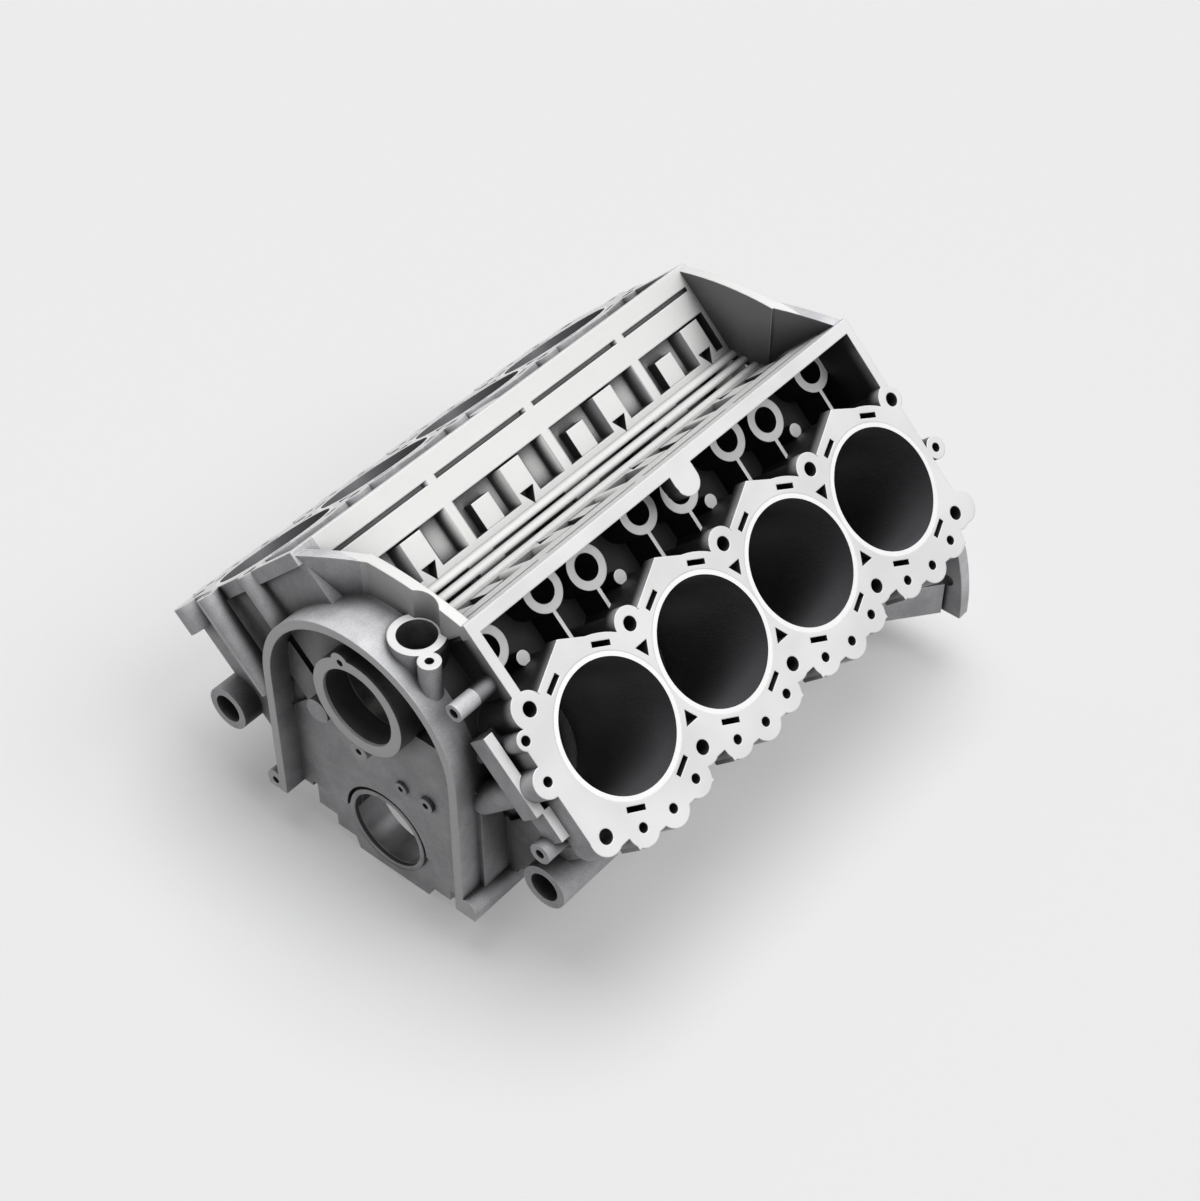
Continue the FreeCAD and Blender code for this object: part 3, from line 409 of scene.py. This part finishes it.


# 1 in the tunnels of the camshaft and the crankshaft, where painted shade goes, 0 elsewhere and on the
# front bearing's ring
def tunnelShadeMask(tree, parts, alongX):
    rooms = []
    for height, reach in (tunnels["cam"], tunnels["main"]):
        up = tree.math("SUBTRACT", parts["Z"], height)
        square = tree.math("ADD", tree.math("MULTIPLY", up, up), tree.math("POWER", parts["Y"], 2.0))
        rooms.append(tree.math("LESS_THAN", square, reach * reach))
    notEnds = tree.math("LESS_THAN", alongX, tunnels["end"])
    front = tree.math("LESS_THAN", parts["X"], tunnels["ringFace"])
    ring = tree.math("MULTIPLY", front, tree.math("LESS_THAN", parts["Z"], tunnels["ringTop"]))
    return tree.fold("MULTIPLY", tree.fold("MAXIMUM", *rooms), notEnds, tree.outside(ring))


# Cast skin and milled faces: edges painted bright, partly wear and partly painted highlight, and painted
# shade in hollows
def castingMaterial():
    material, tree, shader = newMaterial("castAluminium")
    place = tree.position()
    parts = tree.parts(place)
    alongX = tree.math("ABSOLUTE", parts["X"])
    grain = tree.use(castSkin)
    lay = tree.use(milledLay)
    milled = milledMask(tree)
    shadedGallery = tree.math("MULTIPLY", galleryShadeMask(tree, place, alongX), tree.outside(milled))
    litValley, shadedEndWall = valleyLightAndShadeMasks(tree, place, parts, alongX)
    soft = tree.rounded(casting["edgeRadius"], casting["edgeSamples"])
    edge = tree.ramp(tree.outside(tree.dot(soft, tree.facing())), *casting["edgeTurn"])
    hollow = tree.add("ShaderNodeAmbientOcclusion", samples=casting["hollowSamples"])
    hollow.inputs["Distance"].default_value = casting["hollowReach"]
    unshaded = tree.ramp(hollow.outputs["AO"], *casting["hollowLight"])

    cast = tree.mix(grain["Tone"], casting["castShade"], casting["castColour"])
    # painted light: the valley is painted lighter where the light falls
    cast = tree.mix(litValley, cast, casting["valleyPaintedLight"])
    # painted shade on the inner faces of the end walls
    cast = tree.mix(shadedEndWall, cast, casting["endWallShade"])
    # painted shade in the cam and crank tunnels
    cast = tree.mix(tunnelShadeMask(tree, parts, alongX), cast, casting["tunnelShade"])
    # edges painted bright on the cast skin: partly wear, partly painted highlight
    cast = tree.mix(tree.math("MULTIPLY", edge, casting["castEdge"]), cast, casting["edgeWearAndHighlight"])
    # painted shade in hollows, from ambient occlusion
    cast = tree.mix(unshaded, casting["hollowShade"], cast)
    face = tree.mix(lay["Tone"], casting["milledShade"], casting["milledColour"])
    # edges painted bright on the milled faces: partly wear, partly painted highlight
    face = tree.mix(tree.math("MULTIPLY", edge, casting["milledEdge"]), face, casting["edgeWearAndHighlight"])
    # painted shade inside the lifter galleries
    colour = tree.mix(shadedGallery, tree.mix(milled, cast, face), casting["galleryShade"])
    tree.link(colour, shader["Base Color"])

    castRough = tree.blend(grain["Tone"], *casting["castRoughness"])
    milledRough = tree.blend(lay["Tone"], *casting["milledRoughness"])
    tree.link(tree.blend(milled, castRough, milledRough), shader["Roughness"])
    metal = tree.blend(milled, casting["castMetallic"], casting["milledMetallic"])
    tree.link(metal, shader["Metallic"])
    marks = tree.math("MULTIPLY", lay["Height"], casting["millDepth"])
    height = tree.blend(milled, grain["Height"], marks)
    bumped = tree.bump(height, casting["grainDepth"], casting["grainStrength"], soft)
    tree.link(bumped, shader["Normal"])
    return material


# Liners, caps and small pieces

liners = {
    "colour": (0.20, 0.20, 0.21, 1),
    "shade": (0.14, 0.14, 0.15, 1),
    # painted shade deep in the bores
    "deepShade": (0.02, 0.02, 0.02, 1),
    "rimColour": (0.95, 0.95, 0.95, 1),
    "roughness": (0.34, 0.50),
    "metallic": 0.3,
    "wearNoise": (35.0, 3.0),                  # scale and detail
    "deepFrom": (120 * mm, 225 * mm),          # painted shade darkens the walls from the deck down
    "hatchPitch": 0.9 * mm,
    "hatchDepth": 0.03 * mm,
    "hatchStrength": 0.4,
    "hatchAlong": 0.8,                         # the two crossing directions: along the crank, and up
    "hatchUp": 0.42,
}


# Honed iron: two families of fine helical scratches that cross, a bright milled rim, and painted shade
# that deepens down the bore
def linerMaterial():
    material, tree, shader = newMaterial("honedIron")
    place = tree.position()
    rims = []
    heights = []
    scratches = []
    for side in (-1, 1):
        rims.append(tree.use(planeFace, Nx=0.0, Ny=side * lean, Nz=lean, Offset=deckHeight)["Mask"])
        heights.append(tree.dot(place, (0, side * lean, lean)))
        axis = (side * liners["hatchAlong"], liners["hatchUp"], liners["hatchUp"])
        scratches.append(tree.wave(tree.dot(place, axis), liners["hatchPitch"]))
    worn = tree.noise(place, *liners["wearNoise"])
    tone = tree.mix(worn, liners["shade"], liners["colour"])
    shadedDepth = tree.ramp(tree.fold("MAXIMUM", *heights), *liners["deepFrom"])
    # painted shade deeper down the bore
    tone = tree.mix(shadedDepth, liners["deepShade"], tone)
    tree.link(tree.mix(tree.fold("MAXIMUM", *rims), tone, liners["rimColour"]), shader["Base Color"])
    tree.link(tree.blend(worn, *liners["roughness"]), shader["Roughness"])
    hatch = tree.bump(tree.fold("ADD", *scratches), liners["hatchDepth"], liners["hatchStrength"])
    tree.link(hatch, shader["Normal"])
    shader["Metallic"].default_value = liners["metallic"]
    return material


steels = {                                     # bright colour, dull colour and least roughness
    "caps": ((0.36, 0.36, 0.37, 1), (0.27, 0.27, 0.28, 1), 0.42),
    "plated": ((0.55, 0.53, 0.48, 1), (0.40, 0.38, 0.34, 1), 0.34),
    "bushes": ((0.20, 0.20, 0.19, 1), (0.12, 0.12, 0.12, 1), 0.36),
}
steelSkin = {
    "grain": 1400.0,
    "mottle": 60.0,
    "roughnessSpread": 0.14,
    "metallic": 0.9,
    "edgeRadius": 0.5 * mm,
    "edgeSamples": 4,
    "grainDepth": 0.08 * mm,
    "grainStrength": 0.5,
}


def steelMaterial(name, bright, dull, roughness):
    material, tree, shader = newMaterial(name)
    grain = tree.use(castSkin, Grain=steelSkin["grain"], Mottle=steelSkin["mottle"])
    rough = tree.blend(grain["Tone"], roughness, roughness + steelSkin["roughnessSpread"])
    soft = tree.rounded(steelSkin["edgeRadius"], steelSkin["edgeSamples"])
    bumped = tree.bump(grain["Height"], steelSkin["grainDepth"], steelSkin["grainStrength"], soft)
    tree.link(tree.mix(grain["Tone"], dull, bright), shader["Base Color"])
    tree.link(rough, shader["Roughness"])
    tree.link(bumped, shader["Normal"])
    shader["Metallic"].default_value = steelSkin["metallic"]
    return material


say("materials")
finishes = {
    "cast": castingMaterial(),
    "liner": linerMaterial(),
    "cap": steelMaterial("capSteel", *steels["caps"]),
    "plated": steelMaterial("platedSteel", *steels["plated"]),
    "bush": steelMaterial("bearingMetal", *steels["bushes"]),
}


def finishOf(name):
    if name == "engine_block":
        return finishes["cast"]
    if "liner" in name:
        return finishes["liner"]
    if "main_cap" in name:
        return finishes["cap"]
    if "bearing" in name:
        return finishes["bush"]
    return finishes["plated"]


for name, node in nodes.items():
    node.data.materials.clear()
    node.data.materials.append(finishOf(name))


# Turned pieces: bolts, plugs and dowels that stand for plain solids, and what the timing wall carries

# Points of a surface of revolution: each (radius, height) row goes round the axis in equal steps.
# On a row marked hex the radius follows a hexagon, cos 30 over the cosine from the flat's middle.
def turnedGrid(rows, origin, axis, steps=48):
    angle = np.arange(steps) * (2 * math.pi / steps)
    hexagon = math.cos(math.pi / 6) / np.cos(angle % (math.pi / 3) - math.pi / 6)
    circle = np.ones(steps)
    radius = np.array([row[0] * (hexagon if "hex" in row else circle) for row in rows])
    height = np.array([row[1] for row in rows])[:, None]
    along = Vector(axis).normalized()
    side = along.orthogonal().normalized()
    across = along.cross(side)
    grid = radius[..., None] * np.cos(angle)[:, None] * np.array(side)
    grid = grid + radius[..., None] * np.sin(angle)[:, None] * np.array(across)
    return grid + height[..., None] * np.array(along) + np.array(origin)


# Rows on an arc: its centre plus its size times the cosine and the sine of a turn, which goes in
# equal steps between two angles in degrees
def arcRows(centre, size, first, last, count=5):
    turn = np.radians(np.linspace(first, last, count))
    return [(centre[0] + size * c, centre[1] + size * h) for c, h in zip(np.cos(turn), np.sin(turn))]


# One closed mesh from turned grids, in place of a node where one is named
def addTurned(name, grids, material, node=None):
    points = []
    faces = []
    start = 0
    for grid in grids:
        count = grid.shape[0] * grid.shape[1]
        index = start + np.arange(count).reshape(grid.shape[:2])
        beside = np.roll(index, -1, axis=1)
        quads = np.stack([index[:-1], beside[:-1], beside[1:], index[1:]], axis=-1)
        points.append(grid.reshape(-1, 3))
        faces.append(quads.reshape(-1, 4))
        start += count
    mesh = bpy.data.meshes.new(name)
    mesh.from_pydata(np.concatenate(points).tolist(), [], np.concatenate(faces).tolist())
    closed = bmesh.new()
    closed.from_mesh(mesh)
    bmesh.ops.remove_doubles(closed, verts=closed.verts, dist=weldReach)
    bmesh.ops.recalc_face_normals(closed, faces=closed.faces)
    closed.to_mesh(mesh)
    closed.free()
    mesh.shade_smooth()
    mesh.set_sharp_from_angle(angle=sharpAngle)
    mesh.materials.append(material)
    piece = bpy.data.objects.new(name, mesh)
    bpy.context.collection.objects.link(piece)
    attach(piece, body)
    if node:
        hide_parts(node)


capBolts = {
    "caps": 5,
    "place": {"inner": 51 * mm, "outer": 73 * mm},
    "shank": {"inner": 6 * mm, "outer": 5 * mm},
    "flangeRatio": 1.7,                        # radii against the shank's
    "hexRatio": 1.52,
    "topRatio": 0.86,                          # radii against the hexagon's
    "dishRatio": 0.60,
    "dishFloorRatio": 0.52,
    "headHeight": 9 * mm,
    "flangeRound": 0.3 * mm,
    "flangeEdge": 1.3 * mm,
    "flangeRise": 1.3 * mm,
    "chamfer": 1.2 * mm,
    "dish": 0.9 * mm,
}


# Flanged hexagon bolts, heads down, two of a kind under each cap.
# Heights are measured downwards from the flange's seat: negative on the shank, positive on the head.
def makeCapBolts(kind):
    low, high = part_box(f"{kind}_cap_bolts")
    shank = capBolts["shank"][kind]
    flange = shank * capBolts["flangeRatio"]
    head = shank * capBolts["hexRatio"]
    top = capBolts["headHeight"]
    bevel = capBolts["chamfer"]
    foot = low[2] + top - high[2]
    hexFoot = capBolts["flangeEdge"] + capBolts["flangeRise"]
    dishFloor = top - capBolts["dish"]
    rows = [
        (0, foot),
        (shank - bevel, foot),
        (shank, foot + bevel),
        (shank, 0),
        (flange - capBolts["flangeRound"], 0),
        (flange, capBolts["flangeRound"]),
        (flange, capBolts["flangeEdge"]),
        (head, hexFoot, "hex"),
        (head, top - bevel, "hex"),
        (head * capBolts["topRatio"], top),
        (head * capBolts["dishRatio"], top),
        (head * capBolts["dishFloorRatio"], dishFloor),
        (0, dishFloor),
    ]
    grids = []
    for number in range(1, capBolts["caps"] + 1):
        capLow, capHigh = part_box(f"main_cap_{number}")
        middle = (capLow[0] + capHigh[0]) / 2
        for side in (-1, 1):
            seat = (middle, side * capBolts["place"][kind], low[2] + top)
            grids.append(turnedGrid(rows, seat, (0, 0, -1)))
    addTurned(f"{kind}CapBolts", grids, finishes["plated"], f"{kind}_cap_bolts")


corePlug = {
    "radius": 17 * mm,
    "depth": 8 * mm,
    "wall": 2 * mm,
    "corner": 2.5 * mm,
    "dome": 0.7 * mm,
    "domeRings": (0.75, 0.5, 0.25, 0),         # where the dome's rows lie, from its edge to its middle
    "lipSteps": 7,
    "steps": 64,
}


# Pressed cups with a rolled lip, open side out, in the low wall of each bank.
# The floor rises by the dome's height times one less the square of the way out.
def makeCorePlugs():
    radius = corePlug["radius"]
    half = corePlug["depth"] / 2
    wall = corePlug["wall"]
    corner = corePlug["corner"]
    inner = radius - wall
    floor = wall - half
    rows = [(0, -half)]
    rows += arcRows((radius - corner, corner - half), corner, -90, 0)
    rows += arcRows((radius - wall / 2, half - wall / 2), wall / 2, 0, 180, corePlug["lipSteps"])
    rows += arcRows((inner - corner, floor + corner), corner, 0, -90)
    for share in corePlug["domeRings"]:
        rows.append(((inner - corner) * share, floor + corePlug["dome"] * (1 - share * share)))
    for side, sign in (("left", -1), ("right", 1)):
        for number in (1, 2):
            node = f"{side}_core_plug_{number}"
            low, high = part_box(node)
            middle = [(a + b) / 2 for a, b in zip(low, high)]
            grid = turnedGrid(rows, middle, (0, sign, -1), corePlug["steps"])
            addTurned(f"{side}CorePlug{number}", [grid], finishes["plated"], node)


dowel = {
    "place": 176 * mm,
    "stem": 8 * mm,
    "head": 7.5 * mm,
    "reach": 12 * mm,
    "nose": 1.6 * mm,
    "bore": 3 * mm,
    "boreChamfer": 0.5 * mm,
    "boreDepth": 6 * mm,
    "drillPoint": 1.2 * mm,
}


# Locating pins with a rounded nose and a drilled end
def makeDowels():
    low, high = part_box("flywheel_end_dowels")
    length = high[0] - low[0]
    step = length - dowel["reach"]
    rows = [(0, 0), (dowel["stem"], 0), (dowel["stem"], step), (dowel["head"], step)]
    rows += arcRows((dowel["head"] - dowel["nose"], length - dowel["nose"]), dowel["nose"], 0, 90)
    rows += [
        (dowel["bore"] + dowel["boreChamfer"], length),
        (dowel["bore"], length - dowel["boreChamfer"]),
        (dowel["bore"], length - dowel["boreDepth"]),
        (0, length - dowel["boreDepth"] - dowel["drillPoint"]),
    ]
    middle = (low[2] + high[2]) / 2
    grids = [turnedGrid(rows, (low[0], side * dowel["place"], middle), (1, 0, 0)) for side in (-1, 1)]
    addTurned("bellDowels", grids, finishes["plated"], "flywheel_end_dowels")


timingWall = {
    "wall": -244 * mm,
    "round": 0.7 * mm,
    "roundSteps": 3,
    "ringRadii": (35.4 * mm, 40 * mm),
    "ringSeat": -236 * mm,
    "ringSteps": 96,
    "bosses": {                                # y, z, radius, hole radius, height over the wall
        "thrustEar": (4 * mm, 105 * mm, 8.5 * mm, 3 * mm, 17.5 * mm),
        "upperBoss": (-23 * mm, 69 * mm, 6 * mm, 2.4 * mm, 3 * mm),
        "sideBoss": (-50 * mm, 70 * mm, 7 * mm, 2.8 * mm, 4 * mm),
    },
    "bossSunk": 1 * mm,
    "bossSteps": 36,
    "holeChamfer": 0.4 * mm,
    "drillPoint": 0.5 * mm,
}


# The ring that stands round the front main bearing inside its groove
def makeBearingRing():
    inner, outer = timingWall["ringRadii"]
    rise = timingWall["ringSeat"] - timingWall["wall"]
    soft = timingWall["round"]
    steps = timingWall["roundSteps"]
    rows = [(inner, 0), (outer, 0)]
    rows += arcRows((outer - soft, rise - soft), soft, 0, 90, steps)
    rows += arcRows((inner + soft, rise - soft), soft, 90, 180, steps)
    rows.append((inner, 0))
    grid = turnedGrid(rows, (timingWall["ringSeat"], 0, 0), (-1, 0, 0), timingWall["ringSteps"])
    addTurned("frontBearingRing", [grid], finishes["cast"])


# Round bosses with blind holes on the wall inside the timing case
def makeWallBosses():
    soft = timingWall["round"]
    chamfer = timingWall["holeChamfer"]
    foot = -timingWall["bossSunk"]
    grids = []
    for across, up, radius, hole, height in timingWall["bosses"].values():
        rows = [(0, foot), (radius, foot)]
        rows += arcRows((radius - soft, height - soft), soft, 0, 90, timingWall["roundSteps"])
        rows += [(hole + chamfer, height), (hole, height - chamfer), (hole, 0)]
        rows.append((0, -timingWall["drillPoint"]))
        origin = (timingWall["wall"], across, up)
        grids.append(turnedGrid(rows, origin, (-1, 0, 0), timingWall["bossSteps"]))
    addTurned("timingWallBosses", grids, finishes["cast"])


say("bolts, plugs, dowels and bosses")
makeBearingRing()
makeWallBosses()
makeCapBolts("inner")
makeCapBolts("outer")
makeCorePlugs()
makeDowels()


# Floor, light and camera

stage = {
    "floorHalf": 6.0,
    "floorColour": (0.575, 0.575, 0.575, 1),
    "floorBounce": (0.15, 0.15, 0.15, 1),      # what it throws back on the block
    "floorGlow": 0.25,                         # keeps the shadow pale; the lamps do the rest
    "floorRoughness": 0.9,
    "worldStrength": 0.12,
    "worldShown": 0.83,
    "suns": {                                  # where each comes from, its strength and its breadth
        "keySun": ((0.15, 0.04, 0.98), 2.0, 45),
        "deckSun": ((0.12, -0.62, 0.78), 1.1, 34),
    },
}


# 1 for rays that show a surface, straight or in a reflection, and 0 for those that only light it
def seenRays(tree):
    path = tree.add("ShaderNodeLightPath").outputs
    return tree.fold("MAXIMUM", path["Is Camera Ray"], path["Is Glossy Ray"], path["Is Transmission Ray"])


# A flat square at the height of the lowest point of the block
def makeFloor():
    lowest = cadBox[0][2]
    corners = np.array([(-1, -1), (1, -1), (1, 1), (-1, 1)], float) * stage["floorHalf"]
    points = np.column_stack([corners, np.full(len(corners), lowest)])
    mesh = bpy.data.meshes.new("floor")
    mesh.from_pydata(points.tolist(), [], [(0, 1, 2, 3)])
    floor = bpy.data.objects.new("floor", mesh)
    bpy.context.collection.objects.link(floor)
    material, tree, shader = newMaterial("floorPaper")
    seen = seenRays(tree)
    tree.link(tree.mix(seen, stage["floorBounce"], stage["floorColour"]), shader["Base Color"])
    tree.link(tree.mix(seen, black, white), shader["Emission Color"])
    shader["Emission Strength"].default_value = stage["floorGlow"]
    shader["Roughness"].default_value = stage["floorRoughness"]
    shader["Specular IOR Level"].default_value = 0.0
    mesh.materials.append(material)


def makeLight():
    for name, (comesFrom, strength, breadth) in stage["suns"].items():
        sun = bpy.data.lights.new(name, "SUN")
        sun.energy = strength
        sun.angle = math.radians(breadth)
        lamp = bpy.data.objects.new(name, sun)
        bpy.context.collection.objects.link(lamp)
        lamp.rotation_euler = Vector(comesFrom).to_track_quat("Z", "Y").to_euler()
    world = bpy.data.worlds.new("studio")
    bpy.context.scene.world = world
    world.use_nodes = True
    background = world.node_tree.nodes["Background"].inputs
    background["Color"].default_value = white
    tree = Tree(world.node_tree)
    shown = tree.blend(seenRays(tree), stage["worldStrength"], stage["worldShown"])
    tree.link(shown, background["Strength"])


camera = {
    "place": (-1.0643, -0.9027, 1.4309),
    "looks": (0.5508, 0.4583, -0.6975),
    "focalPixels": 2348,
    "pictureWidth": 1200,
    "sensor": 36,
}


def makeCamera():
    data = bpy.data.cameras.new("camera")
    data.sensor_fit = "HORIZONTAL"
    data.sensor_width = camera["sensor"]
    data.lens = camera["focalPixels"] / camera["pictureWidth"] * camera["sensor"]
    item = bpy.data.objects.new("camera", data)
    bpy.context.collection.objects.link(item)
    item.location = camera["place"]
    item.rotation_euler = Vector(camera["looks"]).to_track_quat("-Z", "Y").to_euler()
    bpy.context.scene.camera = item


say("floor, light and camera")
makeFloor()
makeLight()
makeCamera()
bpy.context.scene.view_settings.view_transform = "Standard"
